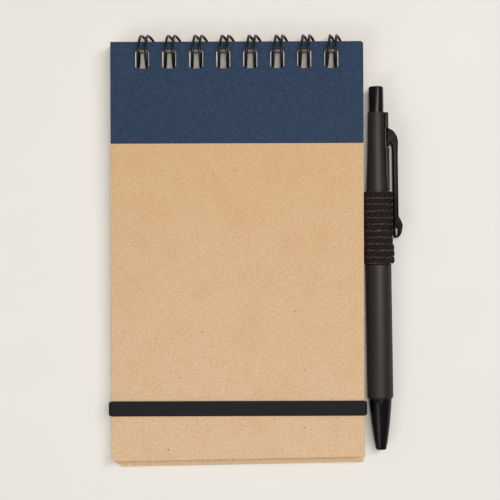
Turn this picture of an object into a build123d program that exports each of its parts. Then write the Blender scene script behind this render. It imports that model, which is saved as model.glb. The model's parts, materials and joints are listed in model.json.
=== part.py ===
from build123d import *
import math
import os

# Pocket notebook, bound across its top edge with twin-loop wire, with a closure band and a pen.
# Millimetres, +Z up. The origin is on the back cover's outer face, about its middle: +X to the
# right, +Y towards the bound edge, +Z from the back cover to the front cover.

# Notebook outline
COVER_W = 79.2
TOP_Y = 65.9
FRONT_BOTTOM_Y = -64.8
BACK_BOTTOM_Y = -67.1
TRIM_RISE = 0.0164
PAGE_INSET = 0.6
CORNER_R = 0.3
WORN_CORNER = (3.0, 2.0)
NIPPED_CORNER = (1.0, 0.7)
ROUND_CORNER_R = 0.9

# Layers, from the back cover's outer face upwards
STRIP_T = 0.2
STRIP_SUNK = 0.1
STRIP_L = 31.9
STRIP_INSET = 0.05
BACK_BOARD_T = 0.9
LINING_T = 0.1
LINING_MARGIN = 1.6
SHEET_T = 0.09
BLOCK_SHEETS = 31
TURNED_SHEETS = (5, 3, 1)
LEAF_GAP = 0.02
FRONT_BOARD_T = 0.8
PAGES_Z = BACK_BOARD_T + LINING_T
PAGES_T = (BLOCK_SHEETS + sum(TURNED_SHEETS)) * SHEET_T + len(TURNED_SHEETS) * LEAF_GAP
FRONT_Z = PAGES_Z + PAGES_T + LEAF_GAP

# Punched holes: eight pairs of loops at three to the inch
LOOPS = 8
PITCH = 25.4 / 3
HOLE_MARGIN = 2.6
COVER_HOLE = (4.4, 5.8, 1.0)
PAGE_HOLE = (4.0, 6.0, 0.25)

# Binding wire
WIRE_D = 0.8
RING_R = 5.0
RING_Y = TOP_Y - 2.9
RING_Z = 2.91
ROOT_DEG = 292.0
TIP_DEG = -56.0
LEG_STEP_DEG = 30.0
HALF_LEGS_AT_HOLE = 1.45
HALF_LEGS_AT_TOP = 1.03
LEAN_AT_APEX = 0.7
LEAN_AT_TIP = 2.75
WIRE_TAIL = 1.6

# Closure band
BAND_W = 4.5
BAND_T = 0.65
BAND_Y = -48.6
BAND_SIDE_GAP = 0.2
BAND_TAIL_X = 28.0
POCKET_GAP = 0.05

# Pen: stations along its own axis, from level with the origin
PEN_X = 44.28
PEN_Z = 3.0
PEN_TILT_DEG = 0.66
BUTTON_TOP = 51.9
BARREL_TOP = 43.8
BARREL_JOINT = -3.75
GRIP_END = -46.1
NOSE_END = -62.2
BUTTON_R = 2.32
BORE_TOP_R = 2.38
BORE_R = 2.45
GRIP_R = 4.06
GRIP_BORE_R = 2.0
SPIGOT_R = 2.85
NOSE_SPIGOT_R = 3.0
SPRING_ROOM_R = 2.1
NOSE_BORE_R = 1.25
REFILL_R = 1.6
TIP_R = 1.15
BALL_R = 0.37
FIT = 0.06

# Rail along the upper barrel's right side, in two lengths, with the clip's foot between them
RAIL_TOP_X = 3.72
RAIL_LOW_X = 3.85
RAIL_W = 3.0
RAIL_END = 19.1

# Clip, outside the loop on the pen's right
CLIP_FOOT_X = 3.0
CLIP_FOOT_END = 32.8
CLIP_IN = 4.78
CLIP_OUT = 6.45
CLIP_W = 3.6
CLIP_TOP = 38.7
CLIP_END = 4.1
CLIP_EYE = (5.85, 6.1)

# Pen loop
LOOP_IN_R = 4.15
LOOP_T = 0.55
LOOP_TOP = 18.8
LOOP_BOTTOM = -3.75
LOOP_TAIL_X = 26.0


def loop_xs():
    """Middle of each pair of loops, across the notebook."""
    return [(i - (LOOPS - 1) / 2) * PITCH for i in range(LOOPS)]


def sheet(bottom, inset, corner, z, thickness):
    """A plate inset from a cover's outline. Its lower edge is trimmed out of square, higher at the
    right. One corner is worn, one rounded, and two are nearly square."""
    w = COVER_W / 2 - inset
    top = TOP_Y - inset
    left_y = bottom + inset - w * TRIM_RISE
    right_y = bottom + inset + w * TRIM_RISE
    cut_x, cut_y = corner
    face = make_face(Polyline(
        (-w + cut_x, left_y + cut_x * TRIM_RISE), (w, right_y), (w, top), (-w, top),
        (-w, left_y + cut_y), close=True))
    top_right = face.vertices().sort_by(Axis.Y)[-2:].sort_by(Axis.X)[-1]
    face = fillet(top_right, ROUND_CORNER_R)
    square_ones = face.vertices().filter_by(lambda v: v.X * v.Y < 0)
    face = fillet(square_ones, CORNER_R)
    return extrude(Pos(0, 0, z) * face, thickness)


def holes(size, z, thickness):
    """The row of punched holes, as cutters."""
    width, length, corner_r = size
    y = TOP_Y - HOLE_MARGIN - length / 2
    hole = RectangleRounded(width, length, corner_r)
    cutters = [extrude(Pos(x, y, z) * hole, thickness) for x in loop_xs()]
    return Part() + cutters


def strip(z):
    """Cloth-textured strip across the bound end of a cover."""
    blank = sheet(BACK_BOTTOM_Y, STRIP_INSET, WORN_CORNER, z, STRIP_T)
    end = Pos(0, TOP_Y - STRIP_L / 2, z + STRIP_T / 2) * Box(COVER_W, STRIP_L, STRIP_T)
    return (blank & end) - holes(COVER_HOLE, z, STRIP_T)


def strip_seat(z):
    """The shallow step that the strip is pressed into."""
    return Pos(0, TOP_Y - STRIP_L / 2, z + STRIP_SUNK / 2) * Box(COVER_W + 2, STRIP_L, STRIP_SUNK)


def lining(bottom, z):
    """Paper pasted over the inside of a cover."""
    return sheet(bottom, LINING_MARGIN, NIPPED_CORNER, z, LINING_T) - holes(COVER_HOLE, z, LINING_T)


def front_cover():
    board_z = FRONT_Z + LINING_T
    top = board_z + FRONT_BOARD_T
    board = sheet(FRONT_BOTTOM_Y, 0, NIPPED_CORNER, board_z, FRONT_BOARD_T)
    board = board - holes(COVER_HOLE, board_z, FRONT_BOARD_T)
    return {
        "front_cover_lining": lining(FRONT_BOTTOM_Y, FRONT_Z),
        "front_cover_board": board - strip_seat(top - STRIP_SUNK),
        "front_cover_strip": strip(top - STRIP_SUNK),
    }


def back_cover():
    board = sheet(BACK_BOTTOM_Y, 0, WORN_CORNER, 0, BACK_BOARD_T)
    board = board - holes(COVER_HOLE, 0, BACK_BOARD_T)
    board = board - strip_seat(0) - band_pockets() - loop_pocket()
    return {
        "back_cover_board": board,
        "back_cover_strip": strip(STRIP_SUNK - STRIP_T),
        "back_cover_lining": lining(BACK_BOTTOM_Y, BACK_BOARD_T),
    }


def page_sheets(count, z):
    """One stack of sheets, punched as a block."""
    thickness = count * SHEET_T
    blank = sheet(FRONT_BOTTOM_Y, PAGE_INSET, NIPPED_CORNER, z, thickness)
    return blank - holes(PAGE_HOLE, z, thickness)


def pages():
    """The block that stays down, and the first leaves, which turn over with the cover."""
    parts = {"page_block": page_sheets(BLOCK_SHEETS, PAGES_Z)}
    z = PAGES_Z + BLOCK_SHEETS * SHEET_T + LEAF_GAP
    for name, count in zip(("third_leaves", "second_leaves", "first_leaf"), TURNED_SHEETS):
        parts[name] = page_sheets(count, z)
        z += count * SHEET_T + LEAF_GAP
    return parts


def leg_spread(angle):
    """Half the distance between a pair's two legs, at an angle round the ring."""
    share = min(max((angle - 60) / 120, 0), 1)
    return HALF_LEGS_AT_TOP + share * (HALF_LEGS_AT_HOLE - HALF_LEGS_AT_TOP)


def leg_lean(angle):
    """How far a pair leans to the right, at an angle round the ring."""
    if angle > 0:
        return LEAN_AT_APEX * max(0, 1 - angle / 90)
    return LEAN_AT_APEX + (LEAN_AT_TIP - LEAN_AT_APEX) * angle / TIP_DEG


def ring_point(x, angle):
    """A corner of the wire's path. Angle 0 is the apex past the bound edge and 90 the front."""
    reach = RING_R / math.cos(math.radians(LEG_STEP_DEG / 2))
    turn = math.radians(angle)
    return Vector(x, RING_Y + reach * math.cos(turn), RING_Z + reach * math.sin(turn))


def finger(x):
    """Corners of one pair: up the left leg to the tip, and back down the right leg."""
    steps = math.ceil((ROOT_DEG - TIP_DEG) / LEG_STEP_DEG)
    angles = [ROOT_DEG + (TIP_DEG - ROOT_DEG) * i / steps for i in range(steps + 1)]
    left = [ring_point(x + leg_lean(a) - leg_spread(a), a) for a in angles]
    right = [ring_point(x + leg_lean(a) + leg_spread(a), a) for a in reversed(angles)]
    return left + right


def corner_radii(points):
    """For each inner corner, an arc as large as its two runs allow."""
    radii = []
    for before, here, after in zip(points, points[1:], points[2:]):
        turn = math.radians((here - before).get_angle(after - here))
        run = min((here - before).length, (after - here).length)
        radii.append(min(0.45 * run / math.tan(turn / 2), RING_R))
    return radii


def binding_wire():
    """One wire: eight pairs of legs, joined behind the back cover by short straight spans."""
    xs = loop_xs()
    points = [ring_point(xs[0] - HALF_LEGS_AT_HOLE - WIRE_TAIL, ROOT_DEG)]
    for x in xs:
        points += finger(x)
    points.append(ring_point(xs[-1] + HALF_LEGS_AT_HOLE + WIRE_TAIL, ROOT_DEG))
    path = FilletPolyline(*points, radius=corner_radii(points))
    section = Plane(origin=path @ 0, z_dir=path % 0) * Circle(WIRE_D / 2)
    wire = sweep(section, path=path)
    print("wire volume", round(wire.volume, 3), "section x length",
          round(math.pi * WIRE_D ** 2 / 4 * path.length, 3))
    return {"binding_wire": wire}


def band_section():
    """The band seen along the notebook: across the front, down both sides, into the back cover."""
    front = FRONT_Z + LINING_T + FRONT_BOARD_T + LEAF_GAP
    inner = COVER_W / 2 + BAND_SIDE_GAP
    outer = inner + BAND_T
    low = BACK_BOARD_T - BAND_T
    shell = Pos(0, (front + BAND_T + low) / 2) * RectangleRounded(2 * outer, front + BAND_T - low, BAND_T)
    room_h = front - BACK_BOARD_T
    room = Pos(0, BACK_BOARD_T + room_h / 2) * RectangleRounded(2 * inner, room_h, BAND_SIDE_GAP)
    gap = Pos(0, low + BAND_T / 2) * Rectangle(2 * BAND_TAIL_X, BAND_T + 1)
    return shell - room - gap


def elastic_band():
    across = Plane(origin=(0, BAND_Y + BAND_W / 2, 0), x_dir=(1, 0, 0), z_dir=(0, -1, 0))
    return {"elastic_band": extrude(across * band_section(), BAND_W)}


def band_pockets():
    """Sunk places in the back board for the band's glued ends."""
    length = COVER_W / 2 - BAND_TAIL_X + 2
    depth = BAND_T + POCKET_GAP
    pocket = Box(length, BAND_W + 2 * POCKET_GAP, depth)
    x = BAND_TAIL_X - POCKET_GAP + length / 2
    z = BACK_BOARD_T - depth / 2
    return Part() + [Pos(side * x, BAND_Y, z) * pocket for side in (-1, 1)]


def on_pen(shape):
    """Put a piece, made with the pen's axis along Y through the origin, where the pen lies."""
    return Pos(PEN_X, 0, PEN_Z) * Rot(0, 0, PEN_TILT_DEG) * shape


def turned(*profile):
    """A turned piece about the pen's axis, from the (radius, station) corners of its section."""
    face = make_face(Polyline(*profile, close=True))
    return revolve(face, Axis.Y)


def pen_loop():
    """Woven elastic round the pen, its two ends laid together and glued into the back cover."""
    width = LOOP_TOP - LOOP_BOTTOM
    middle = (LOOP_TOP + LOOP_BOTTOM) / 2
    along = Rot(90, 0, 0)
    tail_end = PEN_X - LOOP_TAIL_X
    tail_len = tail_end - LOOP_IN_R + 1
    tail_z = BACK_BOARD_T - BAND_T / 2 - PEN_Z
    tail = Pos(-tail_end + tail_len / 2, middle, tail_z) * Box(tail_len, width, BAND_T)
    outer = Pos(0, middle, 0) * along * Cylinder(LOOP_IN_R + LOOP_T, width)
    inner = Pos(0, middle, 0) * along * Cylinder(LOOP_IN_R, width + 2)
    return {"pen_loop": on_pen(outer + tail - inner)}


def loop_pocket():
    length = COVER_W / 2 - LOOP_TAIL_X + 2
    width = LOOP_TOP - LOOP_BOTTOM + 0.6
    depth = BAND_T + POCKET_GAP
    box = Box(length, width, depth)
    middle = (LOOP_TOP + LOOP_BOTTOM) / 2
    shift = Pos(LOOP_TAIL_X - 0.3 + length / 2, middle, BACK_BOARD_T - depth / 2)
    return shift * box


def rail(outer_x, high, low):
    """A raised rib on the barrel's right side, between two stations."""
    bar = Pos(outer_x / 2, (high + low) / 2, 0) * Box(outer_x, high - low, RAIL_W)
    return fillet(bar.edges().filter_by(Axis.Y).sort_by(Axis.X)[-2:], 0.7)


def upper_barrel():
    body = turned(
        (BORE_TOP_R, BARREL_TOP), (2.62, BARREL_TOP), (2.87, 31.9), (3.42, 19.4), (3.6, 6),
        (3.6, BARREL_JOINT), (SPIGOT_R + FIT, BARREL_JOINT), (SPIGOT_R + FIT, 2.2), (BORE_R, 2.2),
        (BORE_R, 30), (BORE_TOP_R, 30.6))
    rails = rail(RAIL_TOP_X, BARREL_TOP, CLIP_TOP + 0.1) + rail(RAIL_LOW_X, CLIP_FOOT_END - 0.2, RAIL_END)
    bore = Rot(90, 0, 0) * Cylinder(BORE_R, 120)
    return body + (rails - bore)


def lower_barrel():
    return turned(
        (GRIP_BORE_R, BARREL_JOINT + 5.8), (SPIGOT_R, BARREL_JOINT + 5.8), (SPIGOT_R, BARREL_JOINT),
        (3.8, BARREL_JOINT), (GRIP_R, BARREL_JOINT - 0.5), (GRIP_R, GRIP_END + 0.5),
        (3.85, GRIP_END), (NOSE_SPIGOT_R + FIT, GRIP_END), (NOSE_SPIGOT_R + FIT, GRIP_END + 5.2),
        (GRIP_BORE_R, GRIP_END + 5.2))


def nose_cone():
    top = GRIP_END - 0.03
    return turned(
        (SPRING_ROOM_R, top + 5), (NOSE_SPIGOT_R, top + 5), (NOSE_SPIGOT_R, top), (3.55, top),
        (3.45, -48), (2.88, -54.2), (2.15, -59.4), (1.75, -61.5), (1.55, NOSE_END),
        (NOSE_BORE_R, NOSE_END), (NOSE_BORE_R, -57.4), (SPRING_ROOM_R, -57))


def push_button():
    return turned(
        (0, BUTTON_TOP), (1.6, BUTTON_TOP), (2.05, BUTTON_TOP - 0.2), (BUTTON_R, BUTTON_TOP - 0.7),
        (BUTTON_R, 36), (1.2, 36), (1.2, 39), (0, 39))


def cam():
    """Rotating cam: a stem up inside the button, and four ribs on its skirt."""
    body = turned((0, 38.4), (1.1, 38.4), (1.1, 35.9), (1.9, 35.9), (1.9, 31.6), (0, 31.6))
    rib = Pos(1.9, 33.2, 0) * Box(0.5, 3.2, 0.8)
    ribs = [Rot(0, quarter * 90, 0) * rib for quarter in range(4)]
    return body + ribs


def refill_tube():
    return turned((0.95, 31.5), (REFILL_R, 31.5), (REFILL_R, -44), (0.95, -44))


def refill_tip():
    return turned(
        (0, -40), (0.9, -40), (0.9, -44.02), (REFILL_R, -44.02), (REFILL_R, -44.6), (TIP_R, -44.6),
        (TIP_R, -58.2), (0.75, -60.1), (0.5, -61.1), (0.38, -61.1), (0.38, -60.2), (0, -60.2))


def writing_ball():
    return Pos(0, -61.1, 0) * Sphere(BALL_R)


def return_spring():
    low = -56.8
    high = -44.8
    turns = 8
    path = Helix(pitch=(high - low) / turns, height=high - low, radius=1.68)
    section = Plane(origin=path @ 0, z_dir=path % 0) * Circle(0.18)
    coil = sweep(section, path=path)
    return Pos(0, low, 0) * Rot(-90, 0, 0) * coil


def clip():
    """Clip, from its outline seen from the front: an arched root, a straight arm, a curled end."""
    side = make_face(Polyline(
        (CLIP_FOOT_X, CLIP_TOP), (3.7, CLIP_TOP), (5.2, CLIP_TOP - 0.9), (6.25, CLIP_TOP - 2.5),
        (CLIP_OUT + 0.15, CLIP_TOP - 4.2), (CLIP_OUT, 30), (CLIP_OUT, 11.0), (7.15, 9.8),
        (7.7, 8.3), (7.4, 6.0), (6.6, 4.6), (5.7, CLIP_END), (5.0, 4.5), (CLIP_IN, 5.8),
        (CLIP_IN, 32.6), (4.4, 34.2), (3.95, 34.2), (3.6, CLIP_FOOT_END), (CLIP_FOOT_X, CLIP_FOOT_END),
        close=True))
    eye = Pos(*CLIP_EYE) * SlotOverall(2.5, 1.0, rotation=90)
    body = extrude(Pos(0, 0, -CLIP_W / 2) * (side - eye), CLIP_W)
    long_edges = body.edges().filter_by(Axis.Y).filter_by(lambda e: e.length > 6)
    return fillet(long_edges.sort_by(Axis.X)[-2:], 0.5)


def pen():
    parts = {
        "upper_barrel": upper_barrel(),
        "lower_barrel": lower_barrel(),
        "nose_cone": nose_cone(),
        "push_button": push_button(),
        "click_cam": cam(),
        "refill_tube": refill_tube(),
        "refill_tip": refill_tip(),
        "writing_ball": writing_ball(),
        "return_spring": return_spring(),
        "pen_clip": clip(),
    }
    return {name: on_pen(shape) for name, shape in parts.items()}


def all_parts():
    parts = {}
    for group in (back_cover, pages, front_cover, binding_wire, elastic_band, pen_loop, pen):
        parts.update(group())
    return parts


os.makedirs("parts", exist_ok=True)
for node, solid in all_parts().items():
    export_step(solid, f"parts/{node}.step")
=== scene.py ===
"""The looks of a pocket notebook with a closure band and a pen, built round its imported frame.

Metres, +Z up, +Y towards the wire. Places come from the frame's nodes; sizes are named below.
"""
import json
import math
import random

import bmesh
import bpy
import numpy as np
from mathutils import Matrix, Vector
from mathutils.geometry import tessellate_polygon


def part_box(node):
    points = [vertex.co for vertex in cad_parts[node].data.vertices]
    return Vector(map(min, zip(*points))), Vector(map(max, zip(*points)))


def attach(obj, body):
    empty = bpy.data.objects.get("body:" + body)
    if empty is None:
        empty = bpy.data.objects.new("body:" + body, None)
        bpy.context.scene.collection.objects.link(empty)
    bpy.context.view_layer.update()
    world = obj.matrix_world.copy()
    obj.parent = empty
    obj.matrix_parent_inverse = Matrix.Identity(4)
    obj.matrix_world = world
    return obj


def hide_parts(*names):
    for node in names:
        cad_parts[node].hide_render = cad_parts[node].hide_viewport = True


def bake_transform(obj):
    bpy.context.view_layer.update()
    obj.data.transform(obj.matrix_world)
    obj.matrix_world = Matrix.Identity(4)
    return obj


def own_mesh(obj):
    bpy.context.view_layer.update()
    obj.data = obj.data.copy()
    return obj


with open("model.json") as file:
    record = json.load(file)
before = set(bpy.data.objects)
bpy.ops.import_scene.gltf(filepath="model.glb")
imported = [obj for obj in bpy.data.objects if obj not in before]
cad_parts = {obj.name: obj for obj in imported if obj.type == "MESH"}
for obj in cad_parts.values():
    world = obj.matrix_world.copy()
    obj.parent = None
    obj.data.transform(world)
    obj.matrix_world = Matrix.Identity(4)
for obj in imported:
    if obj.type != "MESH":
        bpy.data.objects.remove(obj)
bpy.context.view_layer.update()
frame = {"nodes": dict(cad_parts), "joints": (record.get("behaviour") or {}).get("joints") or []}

MM = 0.001
SEED = 11

# Punched holes: width, length and corner
LOOPS = 8
PITCH = 25.4 / 3 * MM
HOLE_MARGIN = 2.6 * MM
COVER_HOLE = (4.4 * MM, 5.8 * MM, 1.0 * MM)
PAGE_HOLE = (4.0 * MM, 6.0 * MM, 0.25 * MM)

# Binding wire: a ring of radius RING_R, its middle set in from the bound edge. A pair's legs are
# closest up to CLOSEST_DEG round the ring, and widest from WIDEST_DEG on.
WIRE_D = 0.8 * MM
RING_R = 5.0 * MM
RING_INSET = 2.9 * MM
RING_Z = 2.91 * MM
ROOT_DEG = 292.0
TIP_DEG = -56.0
LEG_STEP_DEG = 30.0
HALF_LEGS_AT_HOLE = 1.45 * MM
HALF_LEGS_AT_TOP = 1.03 * MM
CLOSEST_DEG = 60.0
WIDEST_DEG = 180.0
LEAN_AT_APEX = 0.7 * MM
LEAN_AT_TIP = 2.75 * MM
WIRE_TAIL = 1.6 * MM

# Sheets: a leaf fills SHEET_SHARE of its room, and slips up to SHEET_SLIP out of line. Corners that
# are cut off are (width, height), and TRIM_RISE is the slope of the lower edge.
SHEET_T = 0.09 * MM
SHEET_SHARE = 0.93
SHEET_SLIP = 0.1 * MM
TRIM_RISE = 0.0164
WORN_CORNER = (3.0 * MM, 2.0 * MM)
NIPPED_CORNER = (1.0 * MM, 0.7 * MM)
WORN_R = 0.6 * MM
ROUND_CORNER_R = 0.9 * MM
CORNER_R = 0.3 * MM
LINE_PITCH = 6.0 * MM
LINES_TOP = 51.0 * MM

# Band: its width on the front is BAND_SPREAD times the frame's. Behind, it is BAND_NARROWED of that,
# and where it turns down the side it loses BAND_CORNER. It has sagged a little down the cover.
BAND_T = 0.65 * MM
BAND_BEND_R = 0.7 * MM
BAND_TAIL_X = 28.0 * MM
BAND_RIBS = 9
BAND_NARROWED = 0.82
BAND_SPREAD = 1.05
BAND_CORNER = 0.14
BAND_SAG = 0.3 * MM

# Pen
PEN_X = 44.28 * MM
PEN_Z = 3.0 * MM

# The pen's own pieces, in millimetres from its axis and along it
BARREL_TOP = 43.8
BARREL_JOINT = -3.75
RAIL_ROOT = 2.5
RAIL_HALF_W = 1.5
CLIP_HALF_W = 1.8
SPRING_LOW = -56.8
SPRING_HIGH = -44.8
SPRING_TURNS = 8
SPRING_R = 1.68
SPRING_WIRE_D = 0.36

# Webbing loop, in millimetres from the pen's axis and along it. Its ribs stand out over RAISED each
# side of the line's middle, and its two tails go into the back cover.
LOOP_R = 4.17
LOOP_PLY = 0.3
LOOP_TOP = 18.8
LOOP_BOTTOM = BARREL_JOINT
LOOP_RIBS = 11
LOOP_START_DEG = 221
LOOP_SWEEP_DEG = 342
LOOP_SPACING = 0.12
LOOP_STATIONS = 180
LOW_PLY = -2.6
HIGH_PLY = -2.26
TAIL_START = 4.5
TAIL_END = 18.2
RAISED = 16.4

# Lights: place and size in metres, power in watts
KEY_LIGHT = ((0.26, 0.16, 0.75), (0.12, 0.65), 3.45)
TOP_LIGHT = ((0, 0.06, 0.8), (0.1, 0.1), 1.33)
FILL_LIGHT = ((-0.35, -0.38, 0.6), (0.4, 0.4), 1.25)
SURROUND = 0.26

# Camera, over the front cover
CAMERA_X = 3.94 * MM
CAMERA_Y = 0.63 * MM
CAMERA_HEIGHT = 420 * MM
CAMERA_ROLL_DEG = -0.2
CAMERA_LENS = 96.7


# ---------------------------------------------------------------- outlines

def round_corners(points, radius, steps=6, closed=True):
    """An outline with each corner turned into an arc. radius is one number, or one for each."""
    made = []
    radii = radius if hasattr(radius, "__len__") else [radius] * len(points)
    for i, (point, r) in enumerate(zip(points, radii)):
        corner = Vector(point)
        if r == 0 or (not closed and i in (0, len(points) - 1)):
            made.append(corner)
            continue
        back = (Vector(points[i - 1]) - corner).normalized()
        on = (Vector(points[(i + 1) % len(points)]) - corner).normalized()
        half = back.angle(on) / 2
        centre = corner + (back + on).normalized() * (r / math.sin(half))
        first = corner + back * (r / math.tan(half)) - centre
        last = corner + on * (r / math.tan(half)) - centre
        start = math.atan2(first.y, first.x)
        sweep = (math.atan2(last.y, last.x) - start + math.pi) % math.tau - math.pi
        for step in range(steps + 1):
            turn = start + sweep * step / steps
            made.append(centre + Vector((r * math.cos(turn), r * math.sin(turn))))
    return made


def sheet_outline(low, high, corner):
    """The outline between a node's two corners. Its lower edge is trimmed out of square, higher at
    the right. One of its corners is worn, one rounded, and two are nearly square."""
    cut_x, cut_y = corner
    left_y = low.y - cut_x * TRIM_RISE
    right_y = left_y + (high.x - low.x) * TRIM_RISE
    points = [
        (low.x + cut_x, low.y), (high.x, right_y), (high.x, high.y),
        (low.x, high.y), (low.x, left_y + cut_y)]
    return round_corners(points, [WORN_R, CORNER_R, ROUND_CORNER_R, CORNER_R, WORN_R])


def loop_xs():
    """Middle of each pair of loops, across the notebook."""
    return [(i - (LOOPS - 1) / 2) * PITCH for i in range(LOOPS)]


def hole_outlines(size):
    """The row of punched holes, each drawn clockwise."""
    width, length, corner_r = size
    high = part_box("back_cover_board")[1].y - HOLE_MARGIN
    rings = []
    for x in loop_xs():
        left, right = x - width / 2, x + width / 2
        corners = [(left, high - length), (left, high), (right, high), (right, high - length)]
        rings.append(round_corners(corners, corner_r))
    return rings


# ---------------------------------------------------------------- meshes

def soft_rim(low, high, edge):
    """A rim rounded at both edges, as (inset, height) steps up the side."""
    bend = [math.radians(turn) for turn in (90, 60, 30, 0)]
    lower = [(edge * (1 - math.cos(t)), low + edge * (1 - math.sin(t))) for t in bend]
    upper = [(edge * (1 - math.cos(t)), high - edge * (1 - math.sin(t))) for t in reversed(bend)]
    return lower + upper


def plate_mesh(name, rings, rim):
    """A flat plate: its outline anticlockwise, its holes clockwise, and its rim's steps. The faces
    take the first material and the rim takes the second."""
    verts = []
    faces = []
    caps = {0: [], len(rim) - 1: []}
    for ring in rings:
        count = len(ring)
        base = len(verts)
        edges = [(ring[(i + 1) % count] - ring[i]).normalized() for i in range(count)]
        outward = [Vector((edge.y, -edge.x)) for edge in edges]
        for i, point in enumerate(ring):
            normal = (outward[i - 1] + outward[i]).normalized()
            stretch = 1 / max(normal.dot(outward[i]), 0.5)
            verts += [(*(point - normal * inset * stretch), height) for inset, height in rim]
        for i in range(count):
            here = base + i * len(rim)
            there = base + (i + 1) % count * len(rim)
            for step in range(len(rim) - 1):
                faces.append((here + step, there + step, there + step + 1, here + step + 1))
        for end, cap in caps.items():
            cap.append([base + i * len(rim) + end for i in range(count)])
    rim_faces = len(faces)
    for cap in caps.values():
        numbers = [n for ring in cap for n in ring]
        for corners in tessellate_polygon([[Vector(verts[n]) for n in ring] for ring in cap]):
            faces.append([numbers[n] for n in corners])
    mesh = bpy.data.meshes.new(name)
    mesh.from_pydata(verts, [], faces)
    mesh.polygons.foreach_set("material_index", [int(i < rim_faces) for i in range(len(faces))])
    return mesh


def tidy(mesh, sharp_deg=25):
    """Joins doubled points, turns normals outwards, and shades smooth up to an angle."""
    made = bmesh.new()
    made.from_mesh(mesh)
    bmesh.ops.remove_doubles(made, verts=made.verts, dist=1e-7)
    bmesh.ops.recalc_face_normals(made, faces=made.faces)
    made.to_mesh(mesh)
    made.free()
    mesh.shade_smooth()
    mesh.set_sharp_from_angle(angle=math.radians(sharp_deg))
    return mesh


def joined(name, meshes):
    """One mesh out of several."""
    whole = bmesh.new()
    for mesh in meshes:
        whole.from_mesh(mesh)
        bpy.data.meshes.remove(mesh)
    mesh = bpy.data.meshes.new(name)
    whole.to_mesh(mesh)
    whole.free()
    return tidy(mesh)


def grid_mesh(name, grid):
    """A tube from an array of points: rows along it, columns round it, its ends closed."""
    rows, columns, _ = grid.shape
    faces = []
    for i in range(rows - 1):
        for j in range(columns):
            k = (j + 1) % columns
            faces.append((i * columns + j, i * columns + k,
                          (i + 1) * columns + k, (i + 1) * columns + j))
    faces.append(list(range(columns)))
    faces.append(list(range((rows - 1) * columns, rows * columns)))
    mesh = bpy.data.meshes.new(name)
    mesh.from_pydata(grid.reshape(-1, 3).tolist(), [], faces)
    return mesh


def even_route(points, spacing):
    """Evenly spaced points along a polyline, the left normal at each, and how far along it is."""
    corners = np.array([tuple(p) for p in points])
    runs = np.linalg.norm(np.diff(corners, axis=0), axis=1)
    lengths = np.concatenate([[0], np.cumsum(runs)])
    count = max(2, round(lengths[-1] / spacing))
    along = np.linspace(0, lengths[-1], count + 1)
    places = np.stack([np.interp(along, lengths, corners[:, axis]) for axis in (0, 1)], axis=1)
    ahead = np.gradient(places, axis=0)
    ahead /= np.linalg.norm(ahead, axis=1, keepdims=True)
    normals = np.stack([-ahead[:, 1], ahead[:, 0]], axis=1)
    return places, normals, along


def lathe_mesh(name, profile, steps=96):
    """Turns a closed profile of (radius, station) points about the Y axis."""
    turns = np.arange(steps) * math.tau / steps
    radii = np.array([p[0] for p in profile])
    stations = np.array([p[1] for p in profile])
    x = np.outer(radii, np.cos(turns))
    z = np.outer(radii, np.sin(turns))
    y = np.repeat(stations[:, None], steps, axis=1)
    count = len(profile)
    faces = []
    for i in range(count):
        following = (i + 1) % count
        if radii[i] == 0 and radii[following] == 0:
            continue
        for j in range(steps):
            k = (j + 1) % steps
            faces.append((i * steps + j, i * steps + k, following * steps + k, following * steps + j))
    mesh = bpy.data.meshes.new(name)
    mesh.from_pydata(np.stack([x, y, z], axis=2).reshape(-1, 3).tolist(), [], faces)
    cleaned = bmesh.new()
    cleaned.from_mesh(mesh)
    bmesh.ops.remove_doubles(cleaned, verts=cleaned.verts, dist=1e-7)
    bmesh.ops.dissolve_degenerate(cleaned, edges=cleaned.edges, dist=1e-8)
    cleaned.to_mesh(mesh)
    cleaned.free()
    return tidy(mesh, 40)


def wire_mesh(name, points, diameter):
    """A round wire that bends smoothly past the points."""
    curve = bpy.data.curves.new(name, "CURVE")
    curve.dimensions = "3D"
    curve.bevel_depth = diameter / 2
    curve.bevel_resolution = 4
    curve.use_fill_caps = True
    spline = curve.splines.new("NURBS")
    spline.points.add(len(points) - 1)
    for point, at in zip(spline.points, points):
        point.co = (*at, 1)
    spline.order_u = 3
    spline.use_endpoint_u = True
    spline.resolution_u = 8
    holder = bpy.data.objects.new(name, curve)
    mesh = bpy.data.meshes.new_from_object(holder)
    bpy.data.objects.remove(holder)
    return mesh


def piece(name, mesh, materials):
    """Puts the mesh in the scene."""
    made = bpy.data.objects.new(name, mesh)
    bpy.context.scene.collection.objects.link(made)
    for one in materials:
        made.data.materials.append(one)
    return made


def show(name, mesh, materials, body, slot, *nodes):
    """Makes the mesh a piece that rides on a body and stands for CAD nodes."""
    made = piece(name, mesh, materials)
    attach(made, body)
    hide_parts(*nodes)
    return made


# ---------------------------------------------------------------- shader helpers

def srgb(red, green, blue):
    """A display colour of 0 to 255 as a linear one."""
    linear = []
    for value in (red, green, blue):
        share = value / 255
        linear.append(share / 12.92 if share <= 0.04045 else ((share + 0.055) / 1.055) ** 2.4)
    return (*linear, 1.0)


def node(tree, kind, inputs=None, **settings):
    """Adds a node, sets what it is, and gives or links its inputs."""
    made = tree.nodes.new(kind)
    for key, value in settings.items():
        setattr(made, key, value)
    for key, value in (inputs or {}).items():
        if isinstance(value, bpy.types.NodeSocket):
            tree.links.new(value, made.inputs[key])
        else:
            made.inputs[key].default_value = value
    return made


def calc(tree, operation, *values):
    """One step of arithmetic."""
    made = node(tree, "ShaderNodeMath", dict(enumerate(values)), operation=operation)
    return made.outputs[0]


def mixed(tree, factor, first, second):
    """From the first colour to the second, as the factor goes from 0 to 1."""
    made = node(tree, "ShaderNodeMix", {0: factor, 6: first, 7: second}, data_type="RGBA")
    return made.outputs[2]


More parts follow.
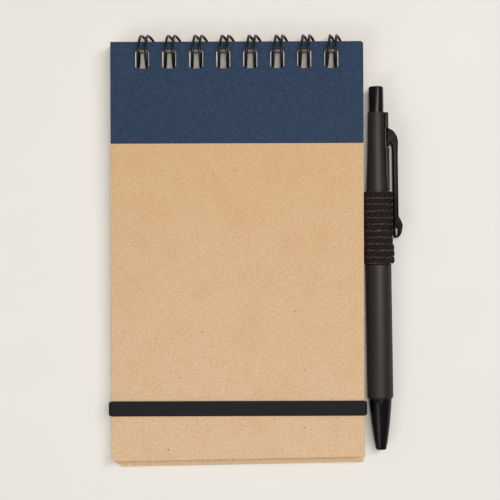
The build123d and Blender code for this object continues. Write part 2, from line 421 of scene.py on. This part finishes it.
def ramp(tree, value, low, high, out_low=0.0, out_high=1.0):
    """From one output to the other as the value goes from low to high, and flat past both."""
    made = node(tree, "ShaderNodeMapRange",
                {"Value": value, "From Min": low, "From Max": high,
                 "To Min": out_low, "To Max": out_high}, clamp=True)
    return made.outputs[0]


def place(tree, scale=(1, 1, 1), turn_deg=0.0):
    """Object coordinates, turned about Z and scaled."""
    at = node(tree, "ShaderNodeTexCoord").outputs["Object"]
    turn = (0, 0, math.radians(turn_deg))
    return node(tree, "ShaderNodeMapping", {"Vector": at, "Scale": scale, "Rotation": turn}).outputs[0]


def noise(tree, vector, size, detail=2.0, roughness=0.5):
    """Noise whose features are about that size."""
    made = node(tree, "ShaderNodeTexNoise",
                {"Vector": vector, "Scale": 1 / size, "Detail": detail, "Roughness": roughness})
    return made.outputs[0]


def waves(tree, vector, pitch, distortion):
    """Bands across X, a pitch apart."""
    made = node(tree, "ShaderNodeTexWave",
                {"Vector": vector, "Scale": math.tau / 20 / pitch, "Distortion": distortion,
                 "Detail": 1.0})
    return made.outputs["Fac"]


def bump(tree, height, distance, strength):
    """A normal from a height, whose full range stands for that distance."""
    return node(tree, "ShaderNodeBump",
                {"Height": height, "Distance": distance, "Strength": strength}).outputs[0]


def material(name, roughness, specular, tone=None):
    """A new material: its tree and its shader, with constants on the shader's own sockets."""
    made = bpy.data.materials.new(name)
    made.use_nodes = True
    shader = made.node_tree.nodes["Principled BSDF"]
    shader.inputs["Roughness"].default_value = roughness
    shader.inputs["Specular IOR Level"].default_value = specular
    if tone:
        shader.inputs["Base Color"].default_value = tone
    return made, made.node_tree, shader


def wire_up(tree, shader, **outputs):
    """Links outputs to the shader's sockets of those names."""
    for key, value in outputs.items():
        tree.links.new(value, shader.inputs[key.replace("_", " ")])


# ---------------------------------------------------------------- materials

def kraft_paper():
    """Kraft board: soft blotches, fine mottled grain, short pale fibres and small dark specks. Painted
    light makes it a little paler away from the bound end, where more light falls."""
    made, tree, shader = material("kraft", 0.85, 0.2)
    clouds = noise(tree, place(tree), 14 * MM, 4.0, 0.6)
    y = node(tree, "ShaderNodeSeparateXYZ", {"Vector": place(tree)}).outputs[1]
    drifting = calc(tree, "ADD", y, calc(tree, "MULTIPLY", clouds, 40 * MM))
    # painted light: the board is drawn paler away from the bound end, as if more light fell there
    painted_light_share = ramp(tree, drifting, 50 * MM, -45 * MM)
    colour = mixed(tree, painted_light_share, srgb(214, 175, 133), srgb(221, 189, 154))
    blotches = ramp(tree, noise(tree, place(tree), 8 * MM, 2.0), 0.5, 0.72, 0.0, 0.3)
    colour = mixed(tree, blotches, colour, srgb(207, 161, 114))
    grain = noise(tree, place(tree, (1.0, 0.8, 1.0), 12), 0.5 * MM, 3.0, 0.6)
    colour = mixed(tree, ramp(tree, grain, 0.35, 0.7, 0.0, 0.7), colour, srgb(193, 155, 114))
    fibres = noise(tree, place(tree, (0.35, 1.0, 1.0), -20), 0.4 * MM, 2.0, 0.6)
    colour = mixed(tree, ramp(tree, fibres, 0.55, 0.75, 0.0, 0.5), colour, srgb(236, 209, 174))
    cells = node(tree, "ShaderNodeTexVoronoi", {"Vector": place(tree), "Scale": 1 / (3.6 * MM)})
    near = ramp(tree, cells.outputs["Distance"], 0.05, 0.1, 1.0, 0.0)
    pick = node(tree, "ShaderNodeSeparateColor", {"Color": cells.outputs["Color"]}).outputs[0]
    dots = calc(tree, "MULTIPLY", near, ramp(tree, pick, 0.62, 0.92, 0.0, 0.75))
    colour = mixed(tree, dots, colour, srgb(126, 88, 54))
    relief = calc(tree, "ADD", grain, fibres)
    wire_up(tree, shader, Base_Color=colour, Normal=bump(tree, relief, 0.03 * MM, 0.5))
    return made


def board_core_and_edge_highlight():
    """The cut edge of the board: layers of pressed fibre, in the core's own colour, made paler as a
    painted highlight along the board's edges.
    """
    made, tree, shader = material("board_core_and_edge_highlight", 0.9, 0.2)
    layers = noise(tree, place(tree, (0.12, 0.12, 1.0)), 0.12 * MM, 3.0, 0.6)
    # partly painted highlight: the paler tone draws a bright line of light along the board's edges
    colour = mixed(tree, ramp(tree, layers, 0.35, 0.65), srgb(190, 156, 114), srgb(226, 200, 162))
    wire_up(tree, shader, Base_Color=colour, Normal=bump(tree, layers, 0.04 * MM, 0.8))
    return made


def cloth_paper():
    """Navy paper embossed with a fine diagonal weave."""
    made, tree, shader = material("navy_cloth", 0.7, 0.15)
    warp = waves(tree, place(tree, turn_deg=43), 0.78 * MM, 1.2)
    weft = waves(tree, place(tree, turn_deg=-47), 0.7 * MM, 1.2)
    uneven = noise(tree, place(tree), 1.1 * MM, 3.0, 0.65)
    dots = calc(tree, "MULTIPLY", warp, weft)
    relief = calc(tree, "ADD", dots, calc(tree, "MULTIPLY", uneven, 0.9))
    colour = mixed(tree, ramp(tree, relief, 0.4, 1.25), srgb(31, 46, 68), srgb(61, 80, 106))
    wire_up(tree, shader, Base_Color=colour, Normal=bump(tree, dots, 0.06 * MM, 0.8))
    return made


def plain_paper(name, tone, ruled):
    """Uncoated paper, with faint ruled lines on its faces where asked."""
    made, tree, shader = material(name, 0.9, 0.2)
    fibre = noise(tree, place(tree), 0.5 * MM, 3.0, 0.6)
    darker = (*(0.9 * value for value in tone[:3]), 1.0)
    colour = mixed(tree, ramp(tree, fibre, 0.3, 0.75), tone, darker)
    if ruled:
        y = node(tree, "ShaderNodeSeparateXYZ", {"Vector": place(tree)}).outputs[1]
        facing = node(tree, "ShaderNodeTexCoord").outputs["Normal"]
        up = node(tree, "ShaderNodeSeparateXYZ", {"Vector": facing}).outputs[2]
        within = calc(tree, "FRACT", calc(tree, "DIVIDE", y, LINE_PITCH))
        line = calc(tree, "LESS_THAN", within, 0.035)
        below_holes = calc(tree, "LESS_THAN", y, LINES_TOP)
        flat = calc(tree, "GREATER_THAN", calc(tree, "ABSOLUTE", up), 0.3)
        drawn = calc(tree, "MULTIPLY", calc(tree, "MULTIPLY", line, below_holes), flat)
        colour = mixed(tree, calc(tree, "MULTIPLY", drawn, 0.5), colour, srgb(150, 166, 186))
    wire_up(tree, shader, Base_Color=colour, Normal=bump(tree, fibre, 0.02 * MM, 0.5))
    return made


def coated_wire():
    """Black coated wire: smooth, with faint drawing marks."""
    made, tree, shader = material("coated_wire", 0.35, 0.35, srgb(9, 9, 10))
    marks = noise(tree, place(tree), 0.5 * MM)
    wire_up(tree, shader, Roughness=ramp(tree, marks, 0.3, 0.7, 0.28, 0.45),
            Normal=bump(tree, marks, 0.008 * MM, 0.4))
    return made


def flat_elastic():
    """Smooth black elastic, knitted across its ribs."""
    made, tree, shader = material("flat_elastic", 0.75, 0.25)
    knit = waves(tree, place(tree), 0.42 * MM, 0.3)
    fuzz = noise(tree, place(tree), 0.3 * MM, 2.0)
    relief = calc(tree, "ADD", calc(tree, "MULTIPLY", knit, 0.5), fuzz)
    colour = mixed(tree, ramp(tree, relief, 0.3, 1.1), srgb(13, 13, 14), srgb(25, 25, 26))
    wire_up(tree, shader, Base_Color=colour, Normal=bump(tree, relief, 0.03 * MM, 0.6))
    return made


def woven_elastic():
    """Black woven webbing: twisted threads, and paler threads in the grooves between its ribs."""
    made, tree, shader = material("woven_elastic", 0.85, 0.2)
    thread = waves(tree, place(tree, turn_deg=32), 0.8 * MM, 6.0)
    fuzz = noise(tree, place(tree), 0.4 * MM, 3.0, 0.65)
    relief = calc(tree, "ADD", thread, fuzz)
    colour = mixed(tree, ramp(tree, relief, 0.7, 1.45), srgb(7, 5, 4), srgb(44, 35, 32))
    y = node(tree, "ShaderNodeSeparateXYZ", {"Vector": place(tree)}).outputs[1]
    rib = (LOOP_TOP - LOOP_BOTTOM) / LOOP_RIBS * MM
    drift = calc(tree, "SUBTRACT", noise(tree, place(tree), 2.2 * MM), 0.5)
    wavy = calc(tree, "ADD", y, calc(tree, "MULTIPLY", drift, 1.1 * MM))
    from_edge = calc(tree, "SUBTRACT", wavy, LOOP_BOTTOM * MM - rib / 2)
    at = calc(tree, "FRACT", calc(tree, "DIVIDE", from_edge, rib))
    groove = ramp(tree, calc(tree, "ABSOLUTE", calc(tree, "SUBTRACT", at, 0.5)), 0.03, 0.12)
    broken = calc(tree, "MULTIPLY", calc(tree, "SUBTRACT", 1.0, groove), ramp(tree, fuzz, 0.4, 0.6))
    colour = mixed(tree, broken, colour, srgb(96, 83, 77))
    wire_up(tree, shader, Base_Color=colour, Normal=bump(tree, relief, 0.1 * MM, 0.9))
    return made


def moulded_plastic(name, tone, roughness, grain, specular=0.4):
    """Moulded plastic with a fine surface grain."""
    made, tree, shader = material(name, roughness, specular, tone)
    spots = noise(tree, place(tree), 0.35 * MM)
    wire_up(tree, shader, Roughness=ramp(tree, spots, 0.3, 0.7, roughness - 0.05, roughness + 0.05),
            Normal=bump(tree, spots, grain, 0.5))
    return made


def metal(name, tone, roughness):
    """Drawn metal with marks along the pen."""
    made, tree, shader = material(name, roughness, 0.5, tone)
    shader.inputs["Metallic"].default_value = 1.0
    marks = noise(tree, place(tree, (1, 0.1, 1)), 0.15 * MM)
    wire_up(tree, shader, Roughness=ramp(tree, marks, 0.3, 0.7, roughness, roughness + 0.15))
    return made


def floor_paint():
    """Matt, pale and faintly uneven."""
    made, tree, shader = material("floor_paint", 0.9, 0.2)
    grain = noise(tree, place(tree), 20 * MM, 3.0)
    wire_up(tree, shader, Base_Color=mixed(tree, grain, srgb(229, 225, 218), srgb(233, 229, 222)))
    return made


KRAFT = kraft_paper()
CORE_AND_EDGE_HIGHLIGHT = board_core_and_edge_highlight()
CLOTH = cloth_paper()
LINING = plain_paper("lining", srgb(226, 214, 192), ruled=False)
PAPER = plain_paper("paper", srgb(244, 240, 228), ruled=True)
PAPER_EDGE = plain_paper("paper_edge", srgb(242, 226, 194), ruled=False)
WIRE = coated_wire()
BAND = flat_elastic()
WEBBING = woven_elastic()
MATTE_PLASTIC = moulded_plastic("matte_plastic", srgb(33, 26, 23), 0.5, 0.02 * MM, 0.38)
GLOSS_PLASTIC = moulded_plastic("gloss_plastic", srgb(12, 9, 8), 0.24, 0.003 * MM, 0.2)
CLIP_PLASTIC = moulded_plastic("clip_plastic", srgb(10, 8, 7), 0.32, 0.004 * MM, 0.07)
WHITE_PLASTIC = moulded_plastic("white_plastic", srgb(224, 224, 220), 0.4, 0.01 * MM)
REFILL_PLASTIC = moulded_plastic("refill_plastic", srgb(202, 208, 216), 0.25, 0.004 * MM)
BRASS = metal("refill_brass", srgb(214, 182, 112), 0.25)
STEEL = metal("spring_steel", srgb(200, 200, 202), 0.2)


# ---------------------------------------------------------------- notebook

def cover(side, body, corner):
    """A cover's board and its strip, with soft edges and punched holes."""
    name = f"{side}_cover_board"
    low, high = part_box(name)
    holes = hole_outlines(COVER_HOLE)
    rim = soft_rim(low.z, high.z, 0.2 * MM)
    mesh = plate_mesh(name, [sheet_outline(low, high, corner), *holes], rim)
    show(f"{side}_board", tidy(mesh), [KRAFT, CORE_AND_EDGE_HIGHLIGHT], body, "kraft_board", name)
    name = f"{side}_cover_strip"
    low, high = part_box(name)
    points = [(low.x, low.y), (high.x, low.y), (high.x, high.y), (low.x, high.y)]
    outline = round_corners(points, [0.1 * MM, 0.1 * MM, ROUND_CORNER_R, CORNER_R])
    mesh = plate_mesh(name, [outline, *holes], soft_rim(low.z, high.z, 0.06 * MM))
    show(f"{side}_strip", tidy(mesh), [CLOTH, CLOTH], body, "navy_cloth_paper", name)


def leaves(name, body, rng):
    """A node's sheets as separate leaves, each a hair out of line with the next."""
    low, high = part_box(name)
    holes = hole_outlines(PAGE_HOLE)
    outline = sheet_outline(low, high, NIPPED_CORNER)
    sheets = []
    for i in range(round((high.z - low.z) / SHEET_T)):
        z = low.z + i * SHEET_T
        rim = soft_rim(z, z + SHEET_SHARE * SHEET_T, 0.01 * MM)
        leaf = plate_mesh(name, [outline, *holes], rim)
        slip = (rng.uniform(-SHEET_SLIP, SHEET_SLIP), rng.uniform(0, SHEET_SLIP), 0)
        leaf.transform(Matrix.Translation(slip))
        sheets.append(leaf)
    show(f"{name}_sheets", joined(name, sheets), [PAPER, PAPER_EDGE], body, "page_paper", name)


def leg_spread(angle):
    """Half the distance between a pair's two legs, at an angle round the ring."""
    share = min(max((angle - CLOSEST_DEG) / (WIDEST_DEG - CLOSEST_DEG), 0), 1)
    return HALF_LEGS_AT_TOP + share * (HALF_LEGS_AT_HOLE - HALF_LEGS_AT_TOP)


def leg_lean(angle):
    """How far a pair leans to the right, at an angle round the ring."""
    if angle > 0:
        return LEAN_AT_APEX * max(0, 1 - angle / 90)
    return LEAN_AT_APEX + (LEAN_AT_TIP - LEAN_AT_APEX) * angle / TIP_DEG


def ring_y():
    """Where the ring's middle is, along the notebook."""
    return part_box("back_cover_board")[1].y - RING_INSET


def ring_point(x, angle):
    """A point that the wire bends round. Angle 0 is the apex past the bound edge and 90 the front."""
    reach = RING_R / math.cos(math.radians(LEG_STEP_DEG / 2))
    turn = math.radians(angle)
    return (x, ring_y() + reach * math.cos(turn), RING_Z + reach * math.sin(turn))


def finger(x):
    """One pair: up the left leg to the tip, and back down the right leg."""
    steps = math.ceil((ROOT_DEG - TIP_DEG) / LEG_STEP_DEG)
    angles = [ROOT_DEG + (TIP_DEG - ROOT_DEG) * i / steps for i in range(steps + 1)]
    left = [ring_point(x + leg_lean(a) - leg_spread(a), a) for a in angles]
    right = [ring_point(x + leg_lean(a) + leg_spread(a), a) for a in reversed(angles)]
    return left + right


def binding_wire():
    """One smooth black wire: eight pairs of legs, joined behind the back cover."""
    xs = loop_xs()
    points = [ring_point(xs[0] - HALF_LEGS_AT_HOLE - WIRE_TAIL, ROOT_DEG)]
    for x in xs:
        points += finger(x)
    points.append(ring_point(xs[-1] + HALF_LEGS_AT_HOLE + WIRE_TAIL, ROOT_DEG))
    mesh = wire_mesh("wire", points, WIRE_D)
    show("twin_loop_wire", tidy(mesh, 60), [WIRE], "wire", "black_coated_wire", "binding_wire")


def elastic_band():
    """Flat elastic round the front. Its ends stay in the back cover when it is pulled down."""
    low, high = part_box("elastic_band")
    half = BAND_T / 2
    left, right = low.x + half, high.x - half
    bottom, top = low.z + half, high.z - half
    corners = [
        (-BAND_TAIL_X, bottom), (left, bottom), (left, top), (right, top), (right, bottom),
        (BAND_TAIL_X, bottom)]
    route = round_corners(corners, BAND_BEND_R, 8, closed=False)
    places, normals, _ = even_route(route, 0.15 * MM)
    width = (high.y - low.y) * BAND_SPREAD
    middle = (low.y + high.y) / 2 - BAND_SAG
    across = np.linspace(-0.5, 0.5, 7 * BAND_RIBS + 1)
    edge = np.sqrt(np.clip(1 - (np.abs(across) * 2) ** 24, 0, 1))
    rib = 0.93 + 0.07 * np.abs(np.cos(math.pi * BAND_RIBS * across))
    face = half * edge * rib
    up = np.clip((places[:, 1:2] - bottom) / (top - bottom), 0, 1)
    side = np.clip((np.abs(places[:, 0:1]) - right) / BAND_BEND_R + 1, 0, 1)
    narrowed = (BAND_NARROWED + (1 - BAND_NARROWED) * up) * (1 - BAND_CORNER * side ** 2)
    out = np.concatenate([face, -face[-2:0:-1]])
    grid = np.empty((len(places), len(out), 3))
    grid[:, :, 0] = places[:, 0:1] + normals[:, 0:1] * out
    grid[:, :, 1] = np.concatenate([across, across[-2:0:-1]]) * width * narrowed + middle
    grid[:, :, 2] = places[:, 1:2] + normals[:, 1:2] * out
    made = piece("closure_band", tidy(grid_mesh("closure_band", grid), 60), [BAND])
    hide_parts("elastic_band")
    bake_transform(made)


# ---------------------------------------------------------------- pen

def pen_matrix():
    """From the pen's own axis, along Y, to where it lies."""
    along = next(j["axis"] for j in frame["joints"] if j["name"] == "pen_slide")
    tilt = math.atan2(-along[0], along[1])
    return Matrix.Translation((PEN_X, 0, PEN_Z)) @ Matrix.Rotation(tilt, 4, "Z") @ Matrix.Scale(MM, 4)


def show_on_pen(name, mesh, finish, body, slot, node_name):
    """Shows a piece made about the pen's own axis."""
    mesh.transform(pen_matrix())
    show(name, mesh, [finish, finish], body, slot, node_name)


def turned(name, profile, radius):
    """A turned piece from (radius, station) points in millimetres, its corners softened."""
    radii = [0 if point[0] == 0 else radius for point in profile]
    return lathe_mesh(name, round_corners(profile, radii, 4))


def rail(outer_x, high, low, edge):
    """A raised rib on the barrel's right side, between two stations."""
    corners = [(RAIL_ROOT, low), (outer_x, low), (outer_x, high), (RAIL_ROOT, high)]
    outline = round_corners(corners, [0, edge / 2, edge / 2, 0])
    return plate_mesh("rail", [outline], soft_rim(-RAIL_HALF_W, RAIL_HALF_W, edge))


def upper_barrel():
    """The tapered barrel, and its rail: proud above and below the clip's root, low behind it."""
    body = turned("upper_barrel", [
        (2.38, BARREL_TOP), (2.62, BARREL_TOP), (2.87, 31.9), (3.42, 19.4), (3.6, 6),
        (3.6, BARREL_JOINT), (2.91, BARREL_JOINT), (2.91, 2.2), (2.45, 2.2), (2.45, 30),
        (2.38, 30.6)], 0.08)
    rails = [
        rail(3.72, 43.75, 38.8, 0.6), rail(2.97, 39.0, 32.4, 0.1), rail(3.85, 32.6, 19.1, 0.6)]
    show_on_pen("pen_upper_barrel", joined("upper_barrel", [body, *rails]), MATTE_PLASTIC,
                "pen", "matte_black_plastic", "upper_barrel")


def lower_barrel():
    """The grip, with the spigot that goes up into the upper barrel."""
    mesh = turned("lower_barrel", [
        (2.0, 2.05), (2.85, 2.05), (2.85, BARREL_JOINT), (3.75, BARREL_JOINT), (4.06, -4.3),
        (4.06, -45.6), (3.85, -46.1), (3.06, -46.1), (3.06, -40.9), (2.0, -40.9)], 0.15)
    show_on_pen("pen_lower_barrel", mesh, MATTE_PLASTIC, "pen", "matte_black_plastic", "lower_barrel")


def nose_cone():
    """The tapered nose, with the spigot that goes up into the grip."""
    mesh = turned("nose_cone", [
        (2.1, -41.13), (3.0, -41.13), (3.0, -46.13), (3.55, -46.13), (3.45, -48), (2.88, -54.2),
        (2.15, -59.4), (1.75, -61.5), (1.55, -62.2), (1.25, -62.2), (1.25, -57.4), (2.1, -57)], 0.1)
    show_on_pen("pen_nose_cone", mesh, GLOSS_PLASTIC, "pen", "gloss_black_plastic", "nose_cone")


def push_button():
    """The button, hollow where it takes the cam."""
    mesh = turned("push_button", [
        (0, 51.9), (2.32, 51.9), (2.32, 36), (1.2, 36), (1.2, 39), (0, 39)], 0.55)
    show_on_pen("pen_push_button", mesh, GLOSS_PLASTIC, "button", "gloss_black_plastic", "push_button")


def return_spring():
    """The spring round the refill's tip, made at one length; the real one shortens as the button
    pushes the refill down.
    """
    length = SPRING_HIGH - SPRING_LOW
    steps = 24
    points = []
    for i in range(SPRING_TURNS * steps + 1):
        turn = math.tau * i / steps
        station = SPRING_LOW + length * i / (SPRING_TURNS * steps)
        points.append((SPRING_R * math.cos(turn), station, SPRING_R * math.sin(turn)))
    mesh = wire_mesh("return_spring", points, SPRING_WIRE_D)
    mesh.transform(pen_matrix())
    made = show("refill_spring", tidy(mesh, 60), [STEEL], "pen", "spring_steel", "return_spring")
    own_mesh(made)


def clip():
    """The clip from the side: an arched root, a straight arm, and a curled end with an eye."""
    outline = [
        (3.0, 38.7), (3.0, 32.8), (3.6, 32.8), (4.1, 34.4), (4.78, 32.6), (4.78, 5.8), (5.0, 4.5),
        (5.7, 4.1), (6.6, 4.6), (7.4, 6.0), (7.7, 8.3), (7.15, 9.8), (6.45, 11.0), (6.45, 30),
        (6.6, 34.5), (6.25, 36.2), (5.2, 37.8), (3.7, 38.7)]
    radii = [0, 0, 0.3, 0.3, 0.5, 0.8, 0.4, 0.8, 1.2, 2.0, 1.0, 1.2, 1.2, 3.0, 1.2, 1.5, 1.5, 0.8]
    eye = [(5.6, 4.9), (5.35, 7.3), (6.35, 7.3), (6.1, 4.9)]
    rings = [round_corners(outline, radii), round_corners(eye, [0.2, 0.45, 0.45, 0.2])]
    mesh = plate_mesh("clip", rings, soft_rim(-CLIP_HALF_W, CLIP_HALF_W, 0.38))
    show_on_pen("clip_arm", tidy(mesh, 40), CLIP_PLASTIC, "clip", "gloss_black_plastic", "pen_clip")


def loop_route():
    """The webbing's middle line, seen along the pen: out from the cover, round the pen, and back.
    Gives points along it, the left normal at each, and how far each is from the line's middle."""
    middle = LOOP_R + LOOP_PLY / 2
    turns = np.radians(np.linspace(LOOP_START_DEG, LOOP_START_DEG + LOOP_SWEEP_DEG, 120))
    ring = [(middle * math.cos(t), middle * math.sin(t)) for t in turns]
    out = [(-TAIL_START, LOW_PLY), (-3.9, LOW_PLY - 0.08)]
    back = [(-4.12, HIGH_PLY + 0.12), (-TAIL_START - 0.1, HIGH_PLY)]
    places, normals, along = even_route(out + ring + back, LOOP_SPACING)
    tail = TAIL_END - TAIL_START
    places = np.vstack([(-TAIL_END, LOW_PLY), places, (-TAIL_END, HIGH_PLY)])
    normals = np.vstack([normals[:1], normals, normals[-1:]])
    along = np.concatenate([[-tail], along, [along[-1] + tail]])
    return places, normals, along - along.mean()


def pen_loop():
    """Ribbed webbing round the pen: ribs and twisted threads are raised from its outer face. It
    bulges at the right, below the clip."""
    places, normals, along = loop_route()
    stations = np.linspace(LOOP_BOTTOM, LOOP_TOP, LOOP_STATIONS)
    across = (stations - LOOP_BOTTOM) / (LOOP_TOP - LOOP_BOTTOM)
    run = along[:, None]
    waver = 0.12 * np.sin(run * 1.9 + 3 * across) + 0.08 * np.sin(run * 4.3)
    rib = np.abs(np.sin(math.pi * LOOP_RIBS * across + waver)) ** 0.55
    twist = np.sin(math.tau * (run / 0.95 + stations / 1.5) + 14 * waver)
    raised = np.clip(1 - np.abs(run) / RAISED, 0, 1) ** 0.4
    thick = LOOP_PLY / 2 + raised * ((0.3 + 0.03 * twist) * rib - 0.12)
    right = np.clip(places[:, 0:1] / LOOP_R, 0, 1) ** 2
    below_clip = np.clip((3.2 - stations) / 2.0, 0, 1)
    end = np.clip(np.minimum(across, 1 - across) / 0.012, 0, 1) ** 0.5
    thick = (thick + 0.45 * right * below_clip) * (0.4 + 0.6 * end)
    inner = np.full_like(thick, LOOP_PLY / 2)
    out = np.concatenate([-thick, inner], axis=1)
    y = np.concatenate([stations, stations[::-1]])
    grid = np.empty((len(places), len(y), 3))
    grid[:, :, 0] = places[:, 0:1] + normals[:, 0:1] * out
    grid[:, :, 1] = y
    grid[:, :, 2] = places[:, 1:2] + normals[:, 1:2] * out
    mesh = tidy(grid_mesh("pen_loop", grid), 50)
    show_on_pen("webbing_loop", mesh, WEBBING, "notebook", "black_webbing", "pen_loop")


# ---------------------------------------------------------------- stage, light and camera

def floor():
    """A plain pale floor through the three places that the notebook lies on."""
    wire_low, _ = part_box("binding_wire")
    loop_low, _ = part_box("pen_loop")
    board_low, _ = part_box("back_cover_board")
    at_wire = Vector((wire_low.x, ring_y(), wire_low.z))
    at_loop = Vector((PEN_X, loop_low.y, loop_low.z))
    at_corner = Vector((board_low.x, board_low.y + WORN_CORNER[1], 0))
    normal = (at_loop - at_corner).cross(at_wire - at_corner).normalized()
    bpy.ops.mesh.primitive_grid_add(x_subdivisions=8, y_subdivisions=8, size=3.0)
    made = bpy.context.object
    made.name = "floor"
    made.data.transform(normal.to_track_quat("Z", "Y").to_matrix().to_4x4())
    height = at_corner.dot(normal) / normal.z
    made.data.transform(Matrix.Translation((0, 0, height)))
    made.data.materials.append(floor_paint())


def area_light(name, at, size, power):
    """A softbox that faces the object's middle."""
    lamp = bpy.data.lights.new(name, "AREA")
    lamp.shape = "RECTANGLE"
    lamp.size, lamp.size_y = size
    lamp.energy = power
    holder = bpy.data.objects.new(name, lamp)
    holder.location = at
    holder.rotation_euler = (-Vector(at)).to_track_quat("-Z", "Y").to_euler()
    bpy.context.scene.collection.objects.link(holder)


def light():
    """An even surround, a long key at the right, a small top light and a fill at the lower left."""
    world = bpy.data.worlds.new("studio")
    world.use_nodes = True
    background = world.node_tree.nodes["Background"]
    background.inputs[0].default_value = (1.0, 1.0, 1.0, 1.0)
    background.inputs[1].default_value = SURROUND
    bpy.context.scene.world = world
    area_light("key", *KEY_LIGHT)
    area_light("top", *TOP_LIGHT)
    area_light("fill", *FILL_LIGHT)
    bpy.context.scene.view_settings.view_transform = "Standard"


def camera():
    """Straight down over the notebook, a little to the right of its middle."""
    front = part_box("front_cover_board")[1].z
    view = bpy.data.cameras.new("camera")
    view.lens = CAMERA_LENS
    view.sensor_width = 36.0
    holder = bpy.data.objects.new("camera", view)
    holder.location = (CAMERA_X, CAMERA_Y, front + CAMERA_HEIGHT)
    holder.rotation_euler = (0, 0, math.radians(CAMERA_ROLL_DEG))
    bpy.context.scene.collection.objects.link(holder)
    bpy.context.scene.camera = holder


camera()
light()
floor()
rng = random.Random(SEED)
cover("front", "cover", NIPPED_CORNER)
cover("back", "notebook", WORN_CORNER)
leaves("page_block", "notebook", rng)
leaves("third_leaves", "leaf_3", rng)
leaves("second_leaves", "leaf_2", rng)
leaves("first_leaf", "leaf_1", rng)
binding_wire()
elastic_band()
upper_barrel()
lower_barrel()
nose_cone()
push_button()
return_spring()
clip()
pen_loop()

KEPT_NODES = {
    "front_cover_lining": LINING, "back_cover_lining": LINING, "click_cam": WHITE_PLASTIC,
    "refill_tube": REFILL_PLASTIC, "refill_tip": BRASS, "writing_ball": STEEL}
for name, finish in KEPT_NODES.items():
    frame["nodes"][name].data.materials.clear()
    frame["nodes"][name].data.materials.append(finish)
